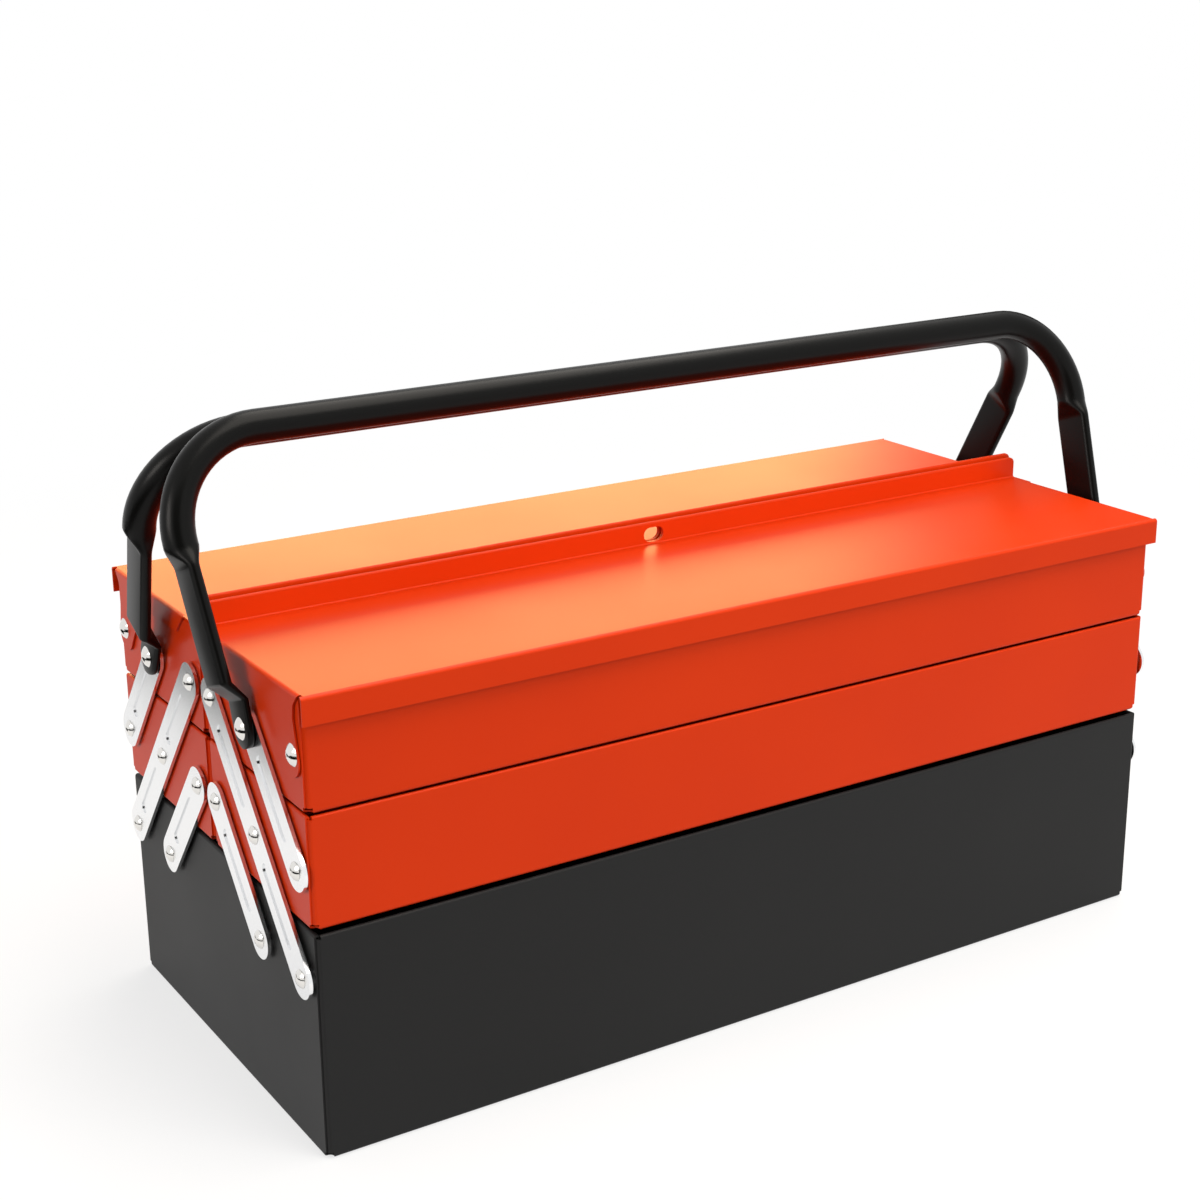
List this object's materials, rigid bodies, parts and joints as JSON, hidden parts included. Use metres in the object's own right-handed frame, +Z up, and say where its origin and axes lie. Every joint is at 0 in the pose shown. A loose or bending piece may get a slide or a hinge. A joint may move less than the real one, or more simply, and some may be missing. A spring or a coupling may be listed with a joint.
{
  "type": "cantilever tool box",
  "caption": "Folded sheet-steel tool box whose hinged-lid trays swing outwards in steps on riveted parallel links, with a pair of tube carrying handles.",
  "frame": {"origin": "centre of the base's underside, on the surface the box stands on", "axes": "+X along the box's length to its right end, +Y to its rear half, +Z up; the box is closed with both handles up"},
  "size_m": [0.495, 0.208, 0.2921],
  "materials": {
    "base_black_paint": "satin black powder coat",
    "orange_red_paint": "semi-gloss orange-red paint",
    "handle_black_paint": "semi-gloss black paint",
    "zinc_plate": "bright zinc plate",
    "rivet_nickel": "bright nickel plate"
  },
  "bodies": {
    "base": {"base_tub": "base_black_paint", "base_pivot_rivets": "rivet_nickel", "base_pivot_washers": "zinc_plate"},
    "front_long_links": {"front_left_long_link": "zinc_plate", "front_right_long_link": "zinc_plate"},
    "front_lower_links": {"front_left_lower_link": "zinc_plate", "front_right_lower_link": "zinc_plate"},
    "front_mid_tray": {"front_mid_tray": "orange_red_paint", "front_mid_tray_rivets": "rivet_nickel", "front_mid_tray_washers": "zinc_plate"},
    "front_upper_links": {"front_left_upper_link": "zinc_plate", "front_right_upper_link": "zinc_plate"},
    "front_top_tray": {"front_top_tray": "orange_red_paint", "front_top_tray_rivets": "rivet_nickel", "front_top_tray_washers": "zinc_plate", "front_handle_rivets": "rivet_nickel", "front_lid_rivets": "rivet_nickel"},
    "front_lid": {"front_lid": "orange_red_paint"},
    "front_handle": {"front_handle": "handle_black_paint"},
    "rear_long_links": {"rear_left_long_link": "zinc_plate", "rear_right_long_link": "zinc_plate"},
    "rear_lower_links": {"rear_left_lower_link": "zinc_plate", "rear_right_lower_link": "zinc_plate"},
    "rear_mid_tray": {"rear_mid_tray": "orange_red_paint", "rear_mid_tray_rivets": "rivet_nickel", "rear_mid_tray_washers": "zinc_plate"},
    "rear_upper_links": {"rear_left_upper_link": "zinc_plate", "rear_right_upper_link": "zinc_plate"},
    "rear_top_tray": {"rear_top_tray": "orange_red_paint", "rear_top_tray_rivets": "rivet_nickel", "rear_top_tray_washers": "zinc_plate", "rear_handle_rivets": "rivet_nickel", "rear_lid_rivets": "rivet_nickel"},
    "rear_lid": {"rear_lid": "orange_red_paint"},
    "rear_handle": {"rear_handle": "handle_black_paint"}
  },
  "joints": [
    {"name": "front_open", "type": "hinge", "parent": "base", "child": "front_long_links", "pos_m": [0, -0.0915, 0.0785], "axis": [1, 0, 0], "range_deg": [0, 80]},
    {"name": "front_lower_links_turn", "type": "hinge", "parent": "base", "child": "front_lower_links", "pos_m": [0, -0.0505, 0.0785], "axis": [1, 0, 0], "range_deg": [0, 80]},
    {"name": "front_mid_tray_level", "type": "hinge", "parent": "front_long_links", "child": "front_mid_tray", "pos_m": [0, -0.0515, 0.1258], "axis": [1, 0, 0], "range_deg": [-80, 0]},
    {"name": "front_top_tray_level", "type": "hinge", "parent": "front_long_links", "child": "front_top_tray", "pos_m": [0, -0.0115, 0.1731], "axis": [1, 0, 0], "range_deg": [-80, 0]},
    {"name": "front_upper_links_turn", "type": "hinge", "parent": "front_mid_tray", "child": "front_upper_links", "pos_m": [0, -0.0925, 0.1258], "axis": [1, 0, 0], "range_deg": [0, 80]},
    {"name": "front_lid_swing", "type": "hinge", "parent": "front_top_tray", "child": "front_lid", "pos_m": [0, -0.0924, 0.1743], "axis": [1, 0, 0], "range_deg": [0, 115]},
    {"name": "front_handle_swing", "type": "hinge", "parent": "front_top_tray", "child": "front_handle", "pos_m": [0, -0.0525, 0.1731], "axis": [1, 0, 0], "range_deg": [0, 157]},
    {"name": "rear_open", "type": "hinge", "parent": "base", "child": "rear_long_links", "pos_m": [0, 0.0915, 0.0785], "axis": [-1, 0, 0], "range_deg": [0, 80]},
    {"name": "rear_lower_links_turn", "type": "hinge", "parent": "base", "child": "rear_lower_links", "pos_m": [0, 0.0505, 0.0785], "axis": [-1, 0, 0], "range_deg": [0, 80]},
    {"name": "rear_mid_tray_level", "type": "hinge", "parent": "rear_long_links", "child": "rear_mid_tray", "pos_m": [0, 0.0515, 0.1258], "axis": [-1, 0, 0], "range_deg": [-80, 0]},
    {"name": "rear_top_tray_level", "type": "hinge", "parent": "rear_long_links", "child": "rear_top_tray", "pos_m": [0, 0.0115, 0.1731], "axis": [-1, 0, 0], "range_deg": [-80, 0]},
    {"name": "rear_upper_links_turn", "type": "hinge", "parent": "rear_mid_tray", "child": "rear_upper_links", "pos_m": [0, 0.0925, 0.1258], "axis": [-1, 0, 0], "range_deg": [0, 80]},
    {"name": "rear_lid_swing", "type": "hinge", "parent": "rear_top_tray", "child": "rear_lid", "pos_m": [0, 0.0924, 0.1743], "axis": [-1, 0, 0], "range_deg": [0, 115]},
    {"name": "rear_handle_swing", "type": "hinge", "parent": "rear_top_tray", "child": "rear_handle", "pos_m": [0, 0.0525, 0.1731], "axis": [-1, 0, 0], "range_deg": [0, 163]}
  ],
  "couplings": [
    {"joint": "front_lower_links_turn", "follows": "front_open", "ratio": 1},
    {"joint": "front_mid_tray_level", "follows": "front_open", "ratio": -1},
    {"joint": "front_top_tray_level", "follows": "front_open", "ratio": -1},
    {"joint": "front_upper_links_turn", "follows": "front_open", "ratio": 1},
    {"joint": "rear_lower_links_turn", "follows": "rear_open", "ratio": 1},
    {"joint": "rear_mid_tray_level", "follows": "rear_open", "ratio": -1},
    {"joint": "rear_top_tray_level", "follows": "rear_open", "ratio": -1},
    {"joint": "rear_upper_links_turn", "follows": "rear_open", "ratio": 1}
  ]
}
